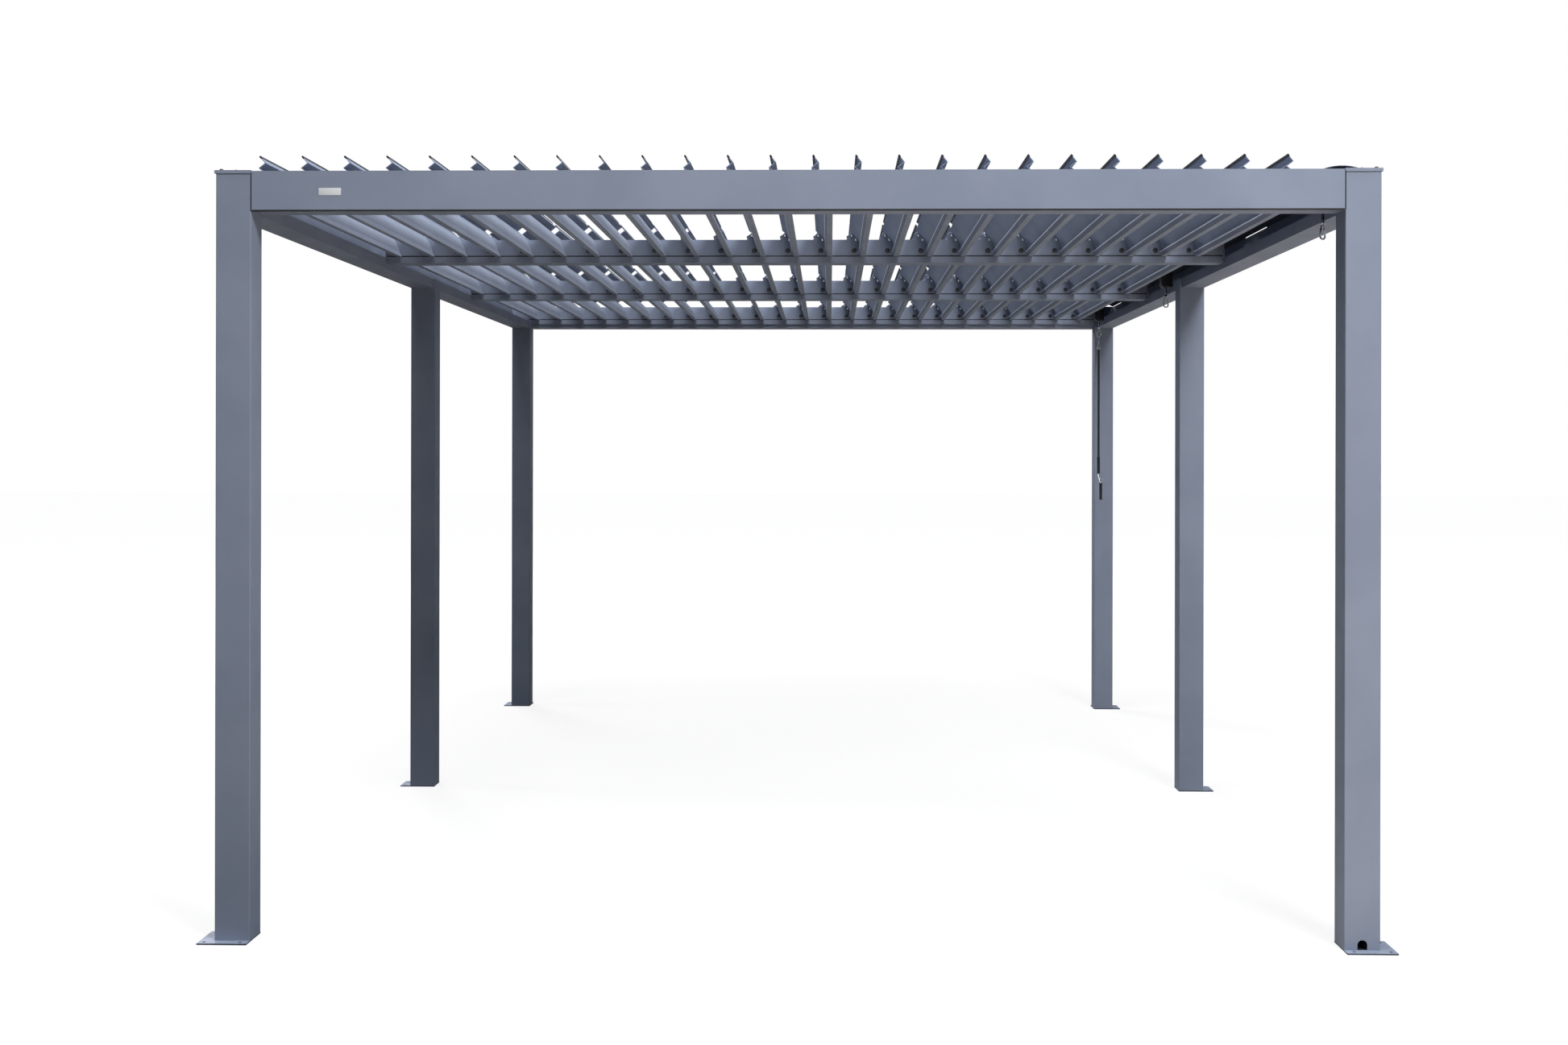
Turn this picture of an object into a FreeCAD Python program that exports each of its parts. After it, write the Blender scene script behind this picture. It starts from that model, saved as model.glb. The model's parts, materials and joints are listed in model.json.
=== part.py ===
"""Louvered pergola: six posts, gutter beams, two crossbeams, three bays of tilting louvres.

Millimetres, +Z up, +X to the right and +Y away from the front. The origin is on the ground at the
centre of the footprint. The louvres are drawn open, about seventy degrees from flat.
"""
import FreeCAD, Part
import math
import os

V = FreeCAD.Vector

# Overall sizes
roof_width = 3600.0
roof_depth = 5400.0
roof_height = 2400.0

# Posts and their feet
post_size = 110.0
post_wall = 2.5
post_corner_radius = 3.0
foot_thick = 5.0
foot_reach_side = 45.0
foot_reach_front = 36.0
foot_hole_dia = 11.0
foot_hole_edge = 18.0
foot_hole_pitch = 112.0
drain_width = 30.0
drain_height = 31.0
cap_thick = 2.0
cap_skirt = 8.0
cap_overhang = 4.0

# Perimeter beams
beam_height = 125.0
beam_width = 100.0
beam_wall = 2.5
gutter_wall_height = 43.0

# Rails and crossbeams that carry the louvre pivots
rail_height = 94.0
rail_drop = 9.0
rail_depth = 10.0
rail_wall = 2.5
crossbeam_width = 100.0
groove_height = 28.0
groove_size = 3.0

# Louvres. Points are (x, z) from the pivot of an open louvre
bays = 3
louvre_pitch = 135.0
first_pivot_inset = 118.0
last_pivot_inset_min = 200.0
pivot_drop = 54.0
sheet = 2.2
hook_tip = (-15.0, 116.0)
hook_corner = (1.0, 96.0)
web_foot = (-19.0, 80.0)
lip_base = (27.0, -22.0)
lip_width = 18.0
lip_height = 19.0
lip_lean = 66.0
arch_rise = 9.0
bracket_thick = 3.0
bracket_corners = [(26.0, -20.0), (31.0, 6.0), (20.0, 46.0), (-8.0, 72.0), (-31.0, 58.0)]
bracket_round_radius = 18.0
bracket_round_end = 232.0
pivot_washer = 0.8

# Fixed arched strip between the last louvre and the right beam
strip_start_gap = 42.0
strip_start_rise = 40.0
strip_peak_rise = 27.0
strip_thick = 2.5
strip_joint = 1.0
strip_web_drop = 50.0
strip_web_inset = 20.0
strip_web_setback = 45.0
strip_gap_width = 4.0
strip_gap_length = 310.0
strip_gap_bays = (0, 2)

# Gearboxes, their eyelets and the hanging crank
gearbox_front_inset = 95.0
gearbox_middle_offset = 205.0
gearbox_rear_inset = 265.0
gearbox_length = 70.0
gearbox_width = 50.0
gearbox_height = 70.0
eyelet_bar = 6.0
eyelet_length = 52.0
eyelet_bottom_width = 28.0
eyelet_top_width = 18.0
stem_radius = 5.0
stem_length = 40.0
stem_gap = 0.3
eyelet_turns = (35.0, 15.0, 0.0)
hook_inner_radius = 7.5
hook_play = 1.5
hook_sweep = 290.0
hook_turn = 90.0
crank_neck_radius = 3.0
crank_neck_length = 50.0
crank_rod_radius = 6.5
crank_length = 636.0
grip_radius = 8.5
grip_length = 98.0
crank_arm_radius = 5.0
crank_arm_drop = 52.0
crank_arm_reach = 90.0
handle_length = 96.0

half_width = roof_width / 2
half_depth = roof_depth / 2
inner_half_width = half_width - beam_width
post_inner_x = half_width - post_size
beam_bottom = roof_height - beam_height
rail_top = roof_height - rail_drop
rail_bottom = rail_top - rail_height
rail_face = half_depth - beam_width - rail_depth
bay_length = (2 * rail_face - (bays - 1) * crossbeam_width) / bays
pivot_height = roof_height - pivot_drop
louvre_count = 1 + int((roof_width - first_pivot_inset - last_pivot_inset_min) // louvre_pitch)
shaft_x = inner_half_width - gearbox_width / 2


def box(x0, x1, y0, y1, z0, z1):
    return Part.makeBox(x1 - x0, y1 - y0, z1 - z0, V(x0, y0, z0))


def cylinder(radius, length, base, axis):
    return Part.makeCylinder(radius, length, base, axis)


def prism_along_y(wire, y0, y1):
    """Solid from a closed wire in the plane y = 0."""
    face = Part.Face(wire)
    face.translate(V(0, y0, 0))
    return face.extrude(V(0, y1 - y0, 0))


def prism_along_x(points, x0, x1):
    """Solid from a closed outline of (y, z) points."""
    wire = Part.makePolygon([V(x0, y, z) for y, z in points + points[:1]])
    return Part.Face(wire).extrude(V(x1 - x0, 0, 0))


def bay_span(bay):
    """Front and rear pivot faces of a bay."""
    start = -rail_face + bay * (bay_length + crossbeam_width)
    return start, start + bay_length


def post_places():
    places = {}
    for side_name, side in (("left", -1), ("right", 1)):
        for row_name, row in (("front", -1), ("middle", 0), ("back", 1)):
            places[row_name + "_" + side_name] = (side, row)
    return places


def post_box(side, row):
    """Outer limits of a post as x0, x1, y0, y1."""
    x_outer = side * half_width
    x_inner = side * post_inner_x
    y_middle = row * (half_depth - post_size / 2)
    return (min(x_outer, x_inner), max(x_outer, x_inner),
            y_middle - post_size / 2, y_middle + post_size / 2)


def make_post(side, row):
    x0, x1, y0, y1 = post_box(side, row)
    outer = box(x0, x1, y0, y1, foot_thick, roof_height)
    uprights = [edge for edge in outer.Edges if edge.BoundBox.ZLength > post_size]
    outer = outer.makeFillet(post_corner_radius, uprights)
    core = box(x0 + post_wall, x1 - post_wall, y0 + post_wall, y1 - post_wall, foot_thick, roof_height)
    post = outer.cut(core)
    if row == 0:
        post = post.cut(head_notch(side, y0, y1))
    if (side, row) == (1, -1):
        post = post.cut(drain_arch(x0, x1, y0))
    return post


def head_notch(side, y0, y1):
    """A middle post keeps only its outer wall above the gutter, so that the roof closes over it."""
    notch_bottom = beam_bottom + gutter_wall_height
    wall_inside = side * (half_width - post_wall)
    post_inside = side * post_inner_x
    x0, x1 = min(wall_inside, post_inside), max(wall_inside, post_inside)
    return box(x0, x1, y0, y1, notch_bottom, roof_height)


def drain_arch(x0, x1, y0):
    """Round-topped opening at the foot of the front right post, where the rain water leaves."""
    middle = (x0 + x1) / 2
    radius = drain_width / 2
    straight_top = foot_thick + drain_height - radius
    legs = box(middle - radius, middle + radius, y0, y0 + post_wall, foot_thick, straight_top)
    crown = cylinder(radius, post_wall, V(middle, y0, straight_top), V(0, 1, 0))
    return legs.fuse(crown)


def foot_plate_box(side, row):
    x0, x1, y0, y1 = post_box(side, row)
    if side < 0:
        x0 -= foot_reach_side
    else:
        x1 += foot_reach_side
    if row < 0:
        y0 -= foot_reach_front
    if row > 0:
        y1 += foot_reach_front
    return x0, x1, y0, y1


def foot_hole_centres(side, row):
    """Corner feet have three holes round the outer corner, middle feet two in a line."""
    x0, x1, y0, y1 = foot_plate_box(side, row)
    outer_x = x0 + foot_hole_edge if side < 0 else x1 - foot_hole_edge
    if row == 0:
        middle_row = post_size / 2 - foot_hole_edge
        return [(outer_x, -middle_row), (outer_x, middle_row)]
    outer_y = y0 + foot_hole_edge if row < 0 else y1 - foot_hole_edge
    return [(outer_x, outer_y),
            (outer_x - side * foot_hole_pitch, outer_y),
            (outer_x, outer_y - row * foot_hole_pitch)]


def make_foot_plate(side, row):
    x0, x1, y0, y1 = foot_plate_box(side, row)
    plate = box(x0, x1, y0, y1, 0, foot_thick)
    for x, y in foot_hole_centres(side, row):
        plate = plate.cut(cylinder(foot_hole_dia / 2, foot_thick, V(x, y, 0), V(0, 0, 1)))
    return plate


def make_cap(side, row):
    """Lid with a short skirt on the two outer sides of a corner post."""
    x0, x1, y0, y1 = post_box(side, row)
    post = box(x0, x1, y0, y1, 0, roof_height)
    if side < 0:
        x0 -= cap_overhang
    else:
        x1 += cap_overhang
    if row < 0:
        y0 -= cap_overhang
    else:
        y1 += cap_overhang
    return box(x0, x1, y0, y1, roof_height - cap_skirt, roof_height + cap_thick).cut(post)


def make_end_beam(row):
    """Closed box beam between two corner posts."""
    y_outer = row * half_depth
    y_inner = row * (half_depth - beam_width)
    y0, y1 = min(y_outer, y_inner), max(y_outer, y_inner)
    outer = box(-post_inner_x, post_inner_x, y0, y1, beam_bottom, roof_height)
    core = box(-post_inner_x, post_inner_x, y0 + beam_wall, y1 - beam_wall,
               beam_bottom + beam_wall, roof_height - beam_wall)
    return outer.cut(core)


def make_side_beam(side, row):
    """Gutter beam, open at the top: a tall outer wall, a floor and a low inner wall."""
    y_post_end = row * (half_depth - post_size)
    y_post_middle = row * post_size / 2
    y0, y1 = min(y_post_end, y_post_middle), max(y_post_end, y_post_middle)
    outer, inner = half_width, inner_half_width
    gutter_top = beam_bottom + gutter_wall_height
    section = [(outer, beam_bottom), (outer, roof_height), (outer - beam_wall, roof_height),
               (outer - beam_wall, beam_bottom + beam_wall), (inner + beam_wall, beam_bottom + beam_wall),
               (inner + beam_wall, gutter_top), (inner, gutter_top), (inner, beam_bottom)]
    wire = Part.makePolygon([V(side * x, 0, z) for x, z in section + section[:1]])
    return prism_along_y(wire, y0, y1)


def pivot_places():
    """X of each louvre's pivot, from left to right."""
    first = -half_width + first_pivot_inset
    return [first + i * louvre_pitch for i in range(louvre_count)]


def make_rail(row):
    """Channel on the inner face of an end beam; its back is open towards the beam."""
    face, seat = rail_face, rail_face + rail_depth
    groove = rail_bottom + groove_height
    section = [(seat, rail_bottom), (face, rail_bottom), (face, groove - groove_size / 2),
               (face + groove_size / 2, groove), (face, groove + groove_size / 2),
               (face, rail_top), (seat, rail_top), (seat, rail_top - rail_wall),
               (face + rail_wall, rail_top - rail_wall), (face + rail_wall, rail_bottom + rail_wall),
               (seat, rail_bottom + rail_wall)]
    return prism_along_x([(row * y, z) for y, z in section], -post_inner_x, post_inner_x)


def make_crossbeam(index):
    """Hollow beam across the roof with a groove along each face."""
    y0 = bay_span(index)[1]
    y1 = y0 + crossbeam_width
    groove = rail_bottom + groove_height
    half = groove_size / 2
    section = [(y0, rail_bottom), (y0, groove - half), (y0 + half, groove), (y0, groove + half),
               (y0, rail_top), (y1, rail_top), (y1, groove + half), (y1 - half, groove),
               (y1, groove - half), (y1, rail_bottom)]
    beam = prism_along_x(section, -inner_half_width, inner_half_width)
    core = box(-inner_half_width, inner_half_width, y0 + rail_wall, y1 - rail_wall,
               rail_bottom + rail_wall, rail_top - rail_wall)
    return beam.cut(core)


def unit(start, end):
    """Direction from one (x, z) point to another."""
    length = math.hypot(end[0] - start[0], end[1] - start[1])
    return (end[0] - start[0]) / length, (end[1] - start[1]) / length


def mitre(before, corner, after, offset):
    """Corner of a line of sheet metal, moved to the left of its course by the offset."""
    d1, d2 = unit(before, corner), unit(corner, after)
    n1, n2 = (-d1[1], d1[0]), (-d2[1], d2[0])
    spread = 1 + n1[0] * n2[0] + n1[1] * n2[1]
    return (corner[0] + offset * (n1[0] + n2[0]) / spread, corner[1] + offset * (n1[1] + n2[1]) / spread)


def square_end(point, toward, offset):
    """End of a line of sheet metal, moved to the left of its course by the offset."""
    d = unit(point, toward)
    return point[0] - offset * d[1], point[1] + offset * d[0]


def in_section(point):
    return V(point[0], 0, point[1])


def joined(points):
    """Straight edges through (x, z) points."""
    return [Part.LineSegment(in_section(a), in_section(b)).toShape() for a, b in zip(points, points[1:])]


def bow(start, middle, end):
    return Part.Arc(in_section(start), in_section(middle), in_section(end)).toShape()


def louvre_section():
    """Face of an open louvre round its pivot, one bent sheet: hook, web, arched blade and gutter lip."""
    lean = math.radians(180 - lip_lean)
    up = (lip_height * math.cos(lean), lip_height * math.sin(lean))
    lip_far = (lip_base[0] + lip_width, lip_base[1])
    lip_end = (lip_base[0] + up[0], lip_base[1] + up[1])
    blade_end = (lip_far[0] + up[0], lip_far[1] + up[1])
    along = unit(web_foot, blade_end)
    crest = ((web_foot[0] + blade_end[0]) / 2 - arch_rise * along[1],
             (web_foot[1] + blade_end[1]) / 2 + arch_rise * along[0])

    def face_of_sheet(offset):
        """Corners of one face of the sheet before its bow, the bow's crest, and the corners after it."""
        before = [square_end(hook_tip, hook_corner, offset),
                  mitre(hook_tip, hook_corner, web_foot, offset),
                  mitre(hook_corner, web_foot, crest, offset)]
        after = [mitre(crest, blade_end, lip_far, offset),
                 mitre(blade_end, lip_far, lip_base, offset),
                 mitre(lip_far, lip_base, lip_end, offset),
                 square_end(lip_end, lip_base, -offset)]
        return before, (crest[0] - offset * along[1], crest[1] + offset * along[0]), after

    start, crown, end = face_of_sheet(sheet / 2)
    inner_start, inner_crown, inner_end = face_of_sheet(-sheet / 2)
    edges = joined(start) + [bow(start[-1], crown, end[0])]
    edges += joined(end + inner_end[::-1])
    edges += [bow(inner_end[0], inner_crown, inner_start[-1])] + joined(inner_start[::-1] + start[:1])
    return Part.Face(Part.Wire(edges))


def on_circle(radius, degrees):
    return radius * math.cos(math.radians(degrees)), radius * math.sin(math.radians(degrees))


def bracket_face():
    """Outline of a louvre's end bracket. Its lower corner is rounded about the pivot."""
    corner = bracket_corners[-1]
    direction = math.degrees(math.atan2(corner[1], corner[0]))
    tangent = direction + math.degrees(math.acos(bracket_round_radius / math.hypot(*corner)))
    arc = [on_circle(bracket_round_radius, angle)
           for angle in (tangent, (tangent + bracket_round_end) / 2, bracket_round_end)]
    edges = [bow(*arc)] + joined([arc[-1]] + bracket_corners + [arc[0]])
    return Part.Face(Part.Wire(edges))


def make_louvre():
    """One louvre at x = 0 in a bay that starts at y = 0: a blade and two brackets, a washer off the rails."""
    near = pivot_washer + bracket_thick
    far = bay_length - near
    section = louvre_section()
    section.translate(V(0, near, pivot_height))
    louvre = section.extrude(V(0, far - near, 0))
    for y in (pivot_washer, far):
        bracket = bracket_face()
        bracket.translate(V(0, y, pivot_height))
        louvre = louvre.fuse(bracket.extrude(V(0, bracket_thick, 0)))
    return louvre.removeSplitter()


def make_louvre_row(louvre, x):
    """The louvres of all bays that stand in one line."""
    row = []
    for bay in range(bays):
        copy = louvre.copy()
        copy.translate(V(x, bay_span(bay)[0], 0))
        row.append(copy)
    return Part.makeCompound(row)


def strip_slab(drop, y0, y1, x_end):
    """Length of the fixed strip; with a drop it is deeper below, and starts further from the louvre."""
    start = (pivot_places()[-1] + strip_start_gap, pivot_height + strip_start_rise)
    end = (half_width, roof_height)
    middle = ((start[0] + end[0]) / 2, roof_height + strip_peak_rise - strip_thick)
    low = [(x, z - drop) for x, z in (start, middle, end)]
    high = [(x, z + strip_thick) for x, z in (start, middle, end)]
    edges = [bow(*low)] + joined([low[2], high[2]]) + [bow(*high[::-1])] + joined([high[0], low[0]])
    face = Part.Face(Part.Wire(edges))
    face.translate(V(0, y0, 0))
    x_start = start[0] + (strip_web_inset if drop else 0)
    limits = box(x_start, x_end, y0, y1, beam_bottom, roof_height + strip_peak_rise)
    return face.extrude(V(0, y1 - y0, 0)).common(limits)


def make_strip(bay):
    """Arched cover between the last louvre and the right beam, with two webs under it.

    Over the gutter it runs on across the crossbeams to the next bay's cover. In some bays its outer
    edge leaves a narrow gap at the rear.
    """
    y0, y1 = bay_span(bay)
    run_on = (crossbeam_width - strip_joint) / 2
    lid_start = y0 - run_on if bay > 0 else y0
    lid_end = y1 + run_on if bay < bays - 1 else y1
    solid = strip_slab(0, y0, y1, half_width)
    lid = strip_slab(0, lid_start, lid_end, half_width)
    solid = solid.fuse(lid.common(box(inner_half_width, half_width, lid_start, lid_end,
                                      roof_height, roof_height + strip_peak_rise)))
    web_end = inner_half_width - strip_web_inset / 2
    for y in (y0 + strip_web_setback, y1 - strip_web_setback - bracket_thick):
        solid = solid.fuse(strip_slab(strip_web_drop, y, y + bracket_thick, web_end))
    if bay in strip_gap_bays:
        solid = solid.cut(box(half_width - strip_gap_width, half_width, y1 - strip_gap_length, lid_end,
                              roof_height, roof_height + strip_peak_rise))
    return solid.removeSplitter()


def gearbox_places():
    return [-rail_face + gearbox_front_inset, gearbox_middle_offset, rail_face - gearbox_rear_inset]


def make_gearbox(y):
    """Closed gear housing against the inner wall of the right gutter beam."""
    return box(inner_half_width - gearbox_width, inner_half_width, y - gearbox_length / 2,
               y + gearbox_length / 2, rail_bottom, rail_bottom + gearbox_height)


def eyelet_bottom():
    return rail_bottom - stem_length - eyelet_length


def pear_face(low, low_radius, high, high_radius):
    """Face round two circles one above the other and the lines that touch both, in the plane y = 0."""
    slope = math.degrees(math.asin((low_radius - high_radius) / (high - low)))

    def at(height, radius, degrees):
        x, z = on_circle(radius, degrees)
        return x, height + z

    right, left = slope, 180 - slope
    edges = [bow(at(low, low_radius, left), at(low, low_radius, 270), at(low, low_radius, right)),
             joined([at(low, low_radius, right), at(high, high_radius, right)])[0],
             bow(at(high, high_radius, right), at(high, high_radius, 90), at(high, high_radius, left)),
             joined([at(high, high_radius, left), at(low, low_radius, left)])[0]]
    return Part.Face(Part.Wire(edges))


def make_eyelet(y, turn):
    """Pear-shaped eye under a stem that turns the gearbox's worm."""
    bottom = eyelet_bottom()
    top = bottom + eyelet_length
    low = bottom + eyelet_bottom_width / 2
    high = top - eyelet_top_width / 2
    outline = pear_face(low, eyelet_bottom_width / 2, high, eyelet_top_width / 2)
    opening = pear_face(low, eyelet_bottom_width / 2 - eyelet_bar, high, eyelet_top_width / 2 - eyelet_bar)
    eye = outline.cut(opening).Faces[0]
    eye.translate(V(0, -eyelet_bar / 2, 0))
    eye = eye.extrude(V(0, eyelet_bar, 0))
    stem_bottom = top - eyelet_bar / 2
    stem = cylinder(stem_radius, rail_bottom - stem_gap - stem_bottom, V(0, 0, stem_bottom), V(0, 0, 1))
    eye = eye.fuse(stem).removeSplitter()
    eye.rotate(V(0, 0, 0), V(0, 0, 1), turn)
    eye.translate(V(shaft_x, y, 0))
    return eye


def hook_middle():
    """Height of the middle of the crank's hook, which hangs on the bar of the eye."""
    return eyelet_bottom() + eyelet_bar + hook_play - hook_inner_radius


def crank_heights():
    """Heights on the crank's axis: foot of the hook, foot of the neck, foot of the rod, foot of the grip."""
    hook_foot = hook_middle() - hook_inner_radius - 2 * crank_neck_radius
    neck_foot = hook_foot - crank_neck_length
    rod_foot = neck_foot - crank_length
    return hook_foot, neck_foot, rod_foot, rod_foot - grip_length


def make_crank_hook(y):
    """Open hook, bent from bar, and the neck under it."""
    hook_foot, neck_foot, _, _ = crank_heights()
    inner, outer = hook_inner_radius, hook_inner_radius + 2 * crank_neck_radius
    angles = (-90, -90 + hook_sweep / 2, -90 + hook_sweep)
    near = [on_circle(inner, angle) for angle in angles]
    far = [on_circle(outer, angle) for angle in angles]
    edges = [bow(*far)] + joined([far[-1], near[-1]]) + [bow(*near[::-1])] + joined([near[0], far[0]])
    hook = Part.Face(Part.Wire(edges))
    hook.translate(V(0, -crank_neck_radius, hook_middle()))
    hook = hook.extrude(V(0, 2 * crank_neck_radius, 0))
    hook.rotate(V(0, 0, 0), V(0, 0, 1), hook_turn)
    neck_top = hook_foot + crank_neck_radius
    neck = cylinder(crank_neck_radius, neck_top - neck_foot, V(0, 0, neck_foot), V(0, 0, 1))
    hook = hook.fuse(neck).removeSplitter()
    hook.translate(V(shaft_x, y, 0))
    return hook


def make_crank_rod(y):
    _, neck_foot, rod_foot, _ = crank_heights()
    return cylinder(crank_rod_radius, neck_foot - rod_foot, V(shaft_x, y, rod_foot), V(0, 0, 1))


def make_crank_grips(y):
    """Grip round the foot of the rod and, offset towards the front, the handle."""
    grip_foot = crank_heights()[-1]
    handle_foot = grip_foot - crank_arm_drop - handle_length
    return [cylinder(grip_radius, grip_length, V(shaft_x, y, grip_foot), V(0, 0, 1)),
            cylinder(grip_radius, handle_length, V(shaft_x, y - crank_arm_reach, handle_foot), V(0, 0, 1))]


def make_crank_arm(y):
    """Slanting bar from the grip to the handle, cut to fit their ends."""
    start = V(shaft_x, y, crank_heights()[-1])
    course = V(0, -crank_arm_reach, -crank_arm_drop)
    overlap = V(course).normalize() * grip_radius
    arm = cylinder(crank_arm_radius, course.Length + 2 * grip_radius, start - overlap, course)
    return arm.cut(Part.makeCompound(make_crank_grips(y)))


def build():
    """All pieces by node name."""
    nodes = {}
    places = post_places()
    for name, (side, row) in places.items():
        nodes["post_" + name] = make_post(side, row)
    nodes["foot_plates"] = Part.makeCompound([make_foot_plate(*place) for place in places.values()])
    nodes["post_caps"] = Part.makeCompound([make_cap(side, row) for side, row in places.values() if row != 0])
    for name, row in (("front", -1), ("back", 1)):
        nodes["beam_" + name] = make_end_beam(row)
        nodes["rail_" + name] = make_rail(row)
        nodes["beam_left_" + name] = make_side_beam(-1, row)
        nodes["beam_right_" + name] = make_side_beam(1, row)
    nodes["crossbeam_front"] = make_crossbeam(0)
    nodes["crossbeam_rear"] = make_crossbeam(1)
    nodes["cover_strips"] = Part.makeCompound([make_strip(bay) for bay in range(bays)])
    louvre = make_louvre()
    for number, x in enumerate(pivot_places(), 1):
        nodes["louvre_row_%02d" % number] = make_louvre_row(louvre, x)
    gear_ys = gearbox_places()
    nodes["gearboxes"] = Part.makeCompound([make_gearbox(y) for y in gear_ys])
    for name, y, turn in zip(("front", "middle", "rear"), gear_ys, eyelet_turns):
        nodes["eyelet_" + name] = make_eyelet(y, turn)
    nodes["crank_hook"] = make_crank_hook(gear_ys[-1])
    nodes["crank_rod"] = make_crank_rod(gear_ys[-1])
    nodes["crank_arm"] = make_crank_arm(gear_ys[-1])
    nodes["crank_grips"] = Part.makeCompound(make_crank_grips(gear_ys[-1]))
    return nodes


def main():
    os.makedirs("parts", exist_ok=True)
    for name, shape in build().items():
        shape.exportStep("parts/%s.step" % name)


main()
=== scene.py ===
"""Looks of the louvered pergola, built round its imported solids. Metres, in the frame of the solids:
+Z up, +X to the right seen from the front, +Y from the front to the back."""
import bmesh
import bpy
import json
import math
from mathutils import Matrix, Vector


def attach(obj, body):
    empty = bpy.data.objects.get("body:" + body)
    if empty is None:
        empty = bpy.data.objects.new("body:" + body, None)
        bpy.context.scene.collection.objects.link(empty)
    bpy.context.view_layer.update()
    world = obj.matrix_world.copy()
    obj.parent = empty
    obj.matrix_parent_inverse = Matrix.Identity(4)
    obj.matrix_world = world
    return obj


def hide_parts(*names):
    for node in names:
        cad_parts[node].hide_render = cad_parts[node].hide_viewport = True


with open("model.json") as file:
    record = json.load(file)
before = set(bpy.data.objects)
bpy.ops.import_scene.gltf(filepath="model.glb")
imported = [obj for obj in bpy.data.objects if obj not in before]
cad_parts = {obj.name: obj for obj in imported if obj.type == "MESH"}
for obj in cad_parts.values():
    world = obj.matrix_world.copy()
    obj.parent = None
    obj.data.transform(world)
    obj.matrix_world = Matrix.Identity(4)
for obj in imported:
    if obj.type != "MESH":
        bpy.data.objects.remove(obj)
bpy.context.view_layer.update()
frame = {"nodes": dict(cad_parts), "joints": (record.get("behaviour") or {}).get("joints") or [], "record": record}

# Camera of the photograph
camera_place = Vector((0.11165, -8.3238, 1.5252))
camera_yaw = 0.02516
camera_roll = 0.001863
camera_lens_mm = 41.83
camera_sensor_mm = 36.0
camera_shift_y = -0.0443

# Lamps: place, point they look at, diameter and power in watts
lamps = {"key": (Vector((3.4, -8.4, 7.4)), Vector((0.4, -1.2, 1.2)), 2.6, 590.0),
         "top": (Vector((-0.5, -2.0, 10.8)), Vector((0.0, 0.2, 2.4)), 6.5, 900.0),
         "front": (Vector((1.5, -15.0, 2.8)), Vector((0.0, 0.0, 1.2)), 5.0, 120.0),
         "left": (Vector((-12.0, 1.5, 9.2)), Vector((-1.8, 0.0, 1.2)), 3.0, 320.0),
         "back": (Vector((-7.0, 12.5, 7.5)), Vector((0.0, 1.5, 1.4)), 5.0, 900.0)}
sky_colour = (0.80, 0.89, 1.0)
sky_strength = 0.06

# Driving sizes of the solids
half_width = 1.8
half_depth = 2.7
roof_height = 2.4
post_size = 0.11
beam_width = 0.1
beam_height = 0.125
foot_thick = 0.005
cap_thick = 0.002
crossbeam_width = 0.1
bays = 3
bracket_thick = 0.003
washer_thick = 0.0008
groove_height = 2.325

# Places that follow from them
post_inner_x = half_width - post_size
post_inner_y = half_depth - post_size
beam_inner_x = half_width - beam_width
beam_bottom = roof_height - beam_height
bay_length = (2 * post_inner_y - (bays - 1) * crossbeam_width) / bays
bracket_inner = washer_thick + bracket_thick

# Places of the joints
joint_places = {joint["name"]: joint["pos_m"] for joint in frame["joints"]}
first_pivot_x = joint_places["tilt_01"][0]
pivot_height = joint_places["tilt_01"][2]
gear_axes = {name: Vector((*joint_places["wind_" + name][:2], 0)) for name in ("front", "middle", "rear")}


# Shader building: the noise values that count, and the slopes from a side to a top over which painted shade on the
# sides fades out

drift_noise = (0.34, 0.66)
gloss_noise = (0.3, 0.7)
gloss_scale = 17.0
grain_strength = 0.35
side_slope = 0.3
top_slope = 0.8


def noise(tree, place, scale, detail):
    """Noise texture; the scale is in cells per metre."""
    node = tree.nodes.new("ShaderNodeTexNoise")
    node.inputs["Scale"].default_value = scale
    node.inputs["Detail"].default_value = detail
    tree.links.new(place, node.inputs["Vector"])
    return node.outputs["Fac"]


def remap(tree, value, low, high, to_low, to_high):
    """Stretches a range of values to another one, and holds it at the ends."""
    node = tree.nodes.new("ShaderNodeMapRange")
    for name, limit in (("From Min", low), ("From Max", high), ("To Min", to_low), ("To Max", to_high)):
        node.inputs[name].default_value = limit
    tree.links.new(value, node.inputs["Value"])
    return node.outputs["Result"]


def arithmetic(tree, operation, first, second):
    node = tree.nodes.new("ShaderNodeMath")
    node.operation = operation
    tree.links.new(first, node.inputs[0])
    tree.links.new(second, node.inputs[1])
    return node.outputs["Value"]


def blend_colours(tree, factor, dark, light):
    node = tree.nodes.new("ShaderNodeMix")
    node.data_type = "RGBA"
    node.inputs["A"].default_value = (*dark, 1)
    node.inputs["B"].default_value = (*light, 1)
    tree.links.new(factor, node.inputs["Factor"])
    return node.outputs["Result"]


def paint_side_shade(tree, colour, sides):
    """Painted shade: faces that don't look upwards keep only this share of the colour."""
    slope = tree.nodes.new("ShaderNodeSeparateXYZ")
    geometry = tree.nodes.new("ShaderNodeNewGeometry")
    tree.links.new(geometry.outputs["True Normal"], slope.inputs["Vector"])
    scaled = tree.nodes.new("ShaderNodeVectorMath")
    scaled.operation = "SCALE"
    tree.links.new(colour, scaled.inputs[0])
    share = remap(tree, slope.outputs["Z"], side_slope, top_slope, sides, 1.0)
    tree.links.new(share, scaled.inputs["Scale"])
    return scaled.outputs["Vector"]


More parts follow.
